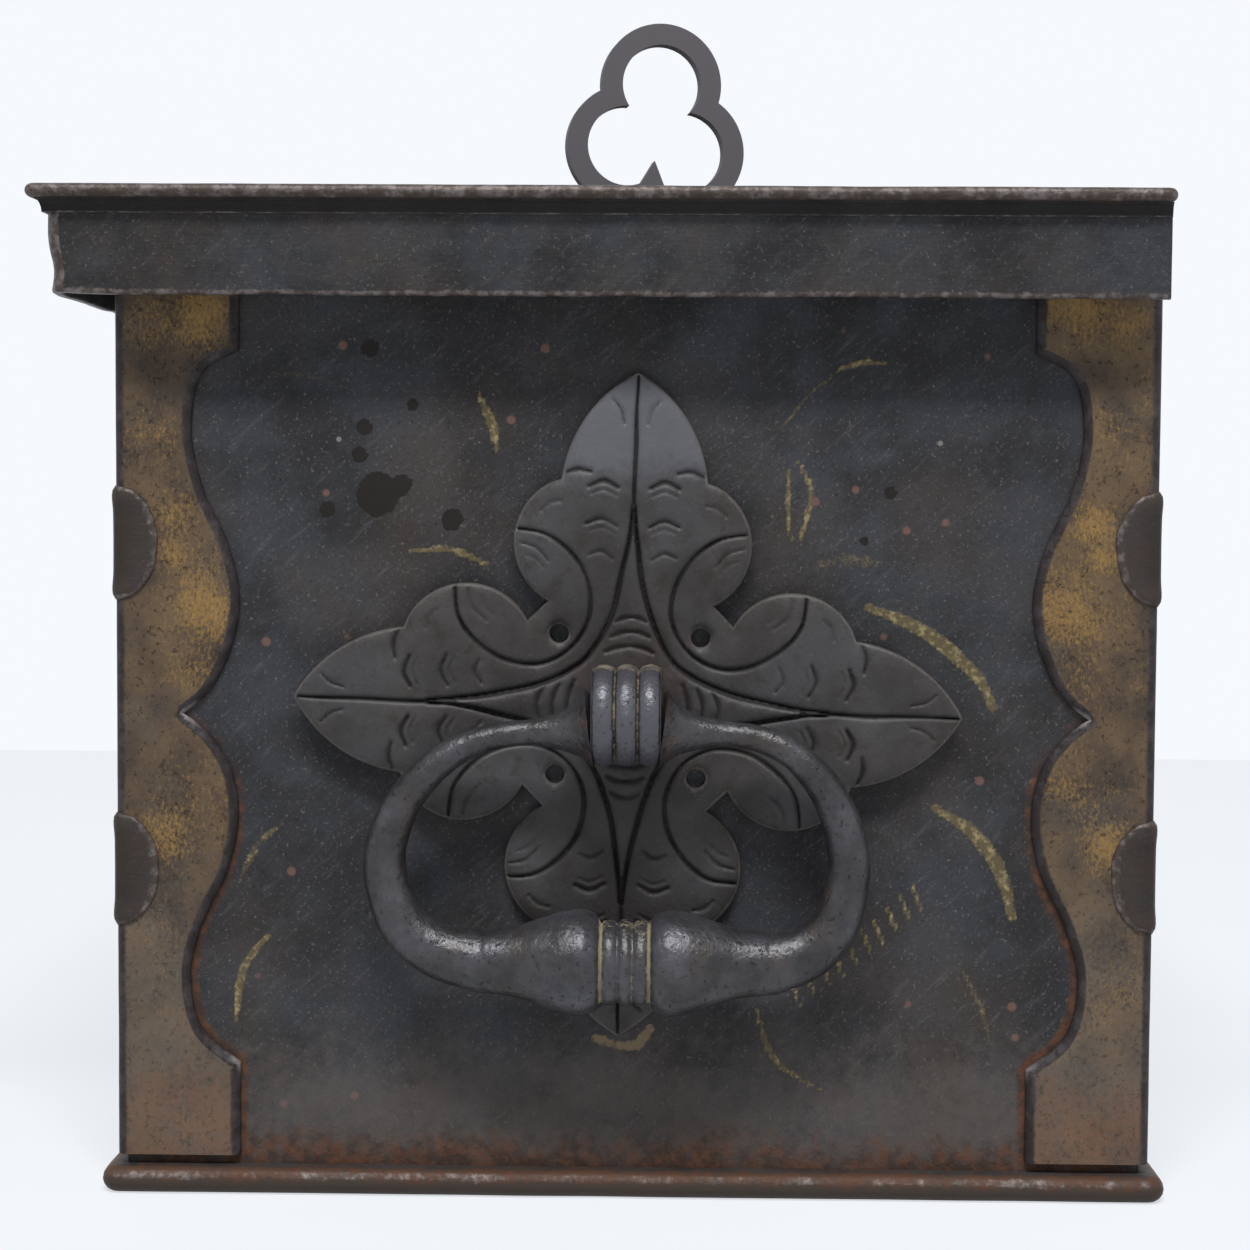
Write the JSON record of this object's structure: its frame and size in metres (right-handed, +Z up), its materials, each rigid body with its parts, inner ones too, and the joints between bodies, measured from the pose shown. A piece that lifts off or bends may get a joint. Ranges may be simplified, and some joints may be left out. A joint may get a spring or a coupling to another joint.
{
  "type": "donation box",
  "caption": "Iron strongbox for donations: scalloped corner straps, overhanging lid with coin slot, leaf plates with drop handles, key-driven lid lock.",
  "frame": {"origin": "on the surface the box stands on, under the middle of the base plate", "axes": "+Z up, +X along the length towards the right end, -Y towards the front"},
  "size_m": [0.3728, 0.2532, 0.2872],
  "materials": {
    "iron_plate": "dark worn plate with rust and traces of gold paint",
    "gilt_iron": "dark plate with rubbed gold paint",
    "worn_iron": "dark chased and rubbed plate",
    "handle_iron": "dark forging, polished by use",
    "lid_iron": "dark worn plate, brown along its moulded edge",
    "lock_iron": "filed plate, dry",
    "key_iron": "grey forging"
  },
  "bodies": {
    "case": {"base_plate": "iron_plate", "front_wall": "iron_plate", "rear_wall": "iron_plate", "left_end_wall": "iron_plate", "right_end_wall": "iron_plate", "front_left_strap": "gilt_iron", "front_right_strap": "gilt_iron", "rear_left_strap": "gilt_iron", "rear_right_strap": "gilt_iron", "corner_clips": "worn_iron", "left_leaf_plate": "worn_iron", "right_leaf_plate": "worn_iron", "left_hinge_wall_leaf": "worn_iron", "right_hinge_wall_leaf": "worn_iron", "left_hinge_pin": "worn_iron", "right_hinge_pin": "worn_iron", "hinge_wall_rivets": "worn_iron", "left_handle_staple": "handle_iron", "right_handle_staple": "handle_iron", "front_strike": "lock_iron", "left_strike": "lock_iron", "right_strike": "lock_iron"},
    "lid": {"lid_plate": "lid_iron", "lid_skirt": "lid_iron", "front_cove": "lid_iron", "left_cove": "lid_iron", "right_cove": "lid_iron", "left_hinge_lid_leaf": "worn_iron", "right_hinge_lid_leaf": "worn_iron", "hinge_lid_rivets": "worn_iron", "lock_cover": "lock_iron", "lock_pillars": "lock_iron", "driver_bush": "lock_iron", "front_bolt_guides": "lock_iron", "left_bolt_guides": "lock_iron", "right_bolt_guides": "lock_iron"},
    "left_handle": {"left_drop_handle": "handle_iron"},
    "right_handle": {"right_drop_handle": "handle_iron"},
    "lock_driver": {"lock_driver": "lock_iron"},
    "front_bolt": {"front_bolt": "lock_iron"},
    "left_bolt": {"left_bolt": "lock_iron"},
    "right_bolt": {"right_bolt": "lock_iron"},
    "key": {"key": "key_iron"}
  },
  "joints": [
    {"name": "lid_hinge", "type": "hinge", "parent": "case", "child": "lid", "pos_m": [0, 0.1182, 0.215], "axis": [-1, 0, 0], "range_deg": [0, 105]},
    {"name": "right_handle_swing", "type": "hinge", "parent": "case", "child": "right_handle", "pos_m": [0.1748, -0.0015, 0.106], "axis": [0, -1, 0], "range_deg": [0, 170]},
    {"name": "left_handle_swing", "type": "hinge", "parent": "case", "child": "left_handle", "pos_m": [-0.1748, 0.0015, 0.106], "axis": [0, 1, 0], "range_deg": [0, 170]},
    {"name": "key_turn", "type": "hinge", "parent": "lid", "child": "lock_driver", "pos_m": [0, 0.001, 0.21], "axis": [0, 0, 1], "range_deg": [0, 90]},
    {"name": "key_lift", "type": "slide", "parent": "lock_driver", "child": "key", "axis": [0, 0, 1], "range_m": [0, 0.03]},
    {"name": "front_bolt_slide", "type": "slide", "parent": "lid", "child": "front_bolt", "axis": [0, -1, 0], "range_m": [0, 0.0145]},
    {"name": "left_bolt_slide", "type": "slide", "parent": "lid", "child": "left_bolt", "axis": [-1, 0, 0], "range_m": [0, 0.0145]},
    {"name": "right_bolt_slide", "type": "slide", "parent": "lid", "child": "right_bolt", "axis": [1, 0, 0], "range_m": [0, 0.0145]}
  ],
  "couplings": [
    {"joint": "front_bolt_slide", "follows": "key_turn", "m_per_rad": 0.009},
    {"joint": "left_bolt_slide", "follows": "key_turn", "m_per_rad": 0.009},
    {"joint": "right_bolt_slide", "follows": "key_turn", "m_per_rad": 0.009}
  ]
}
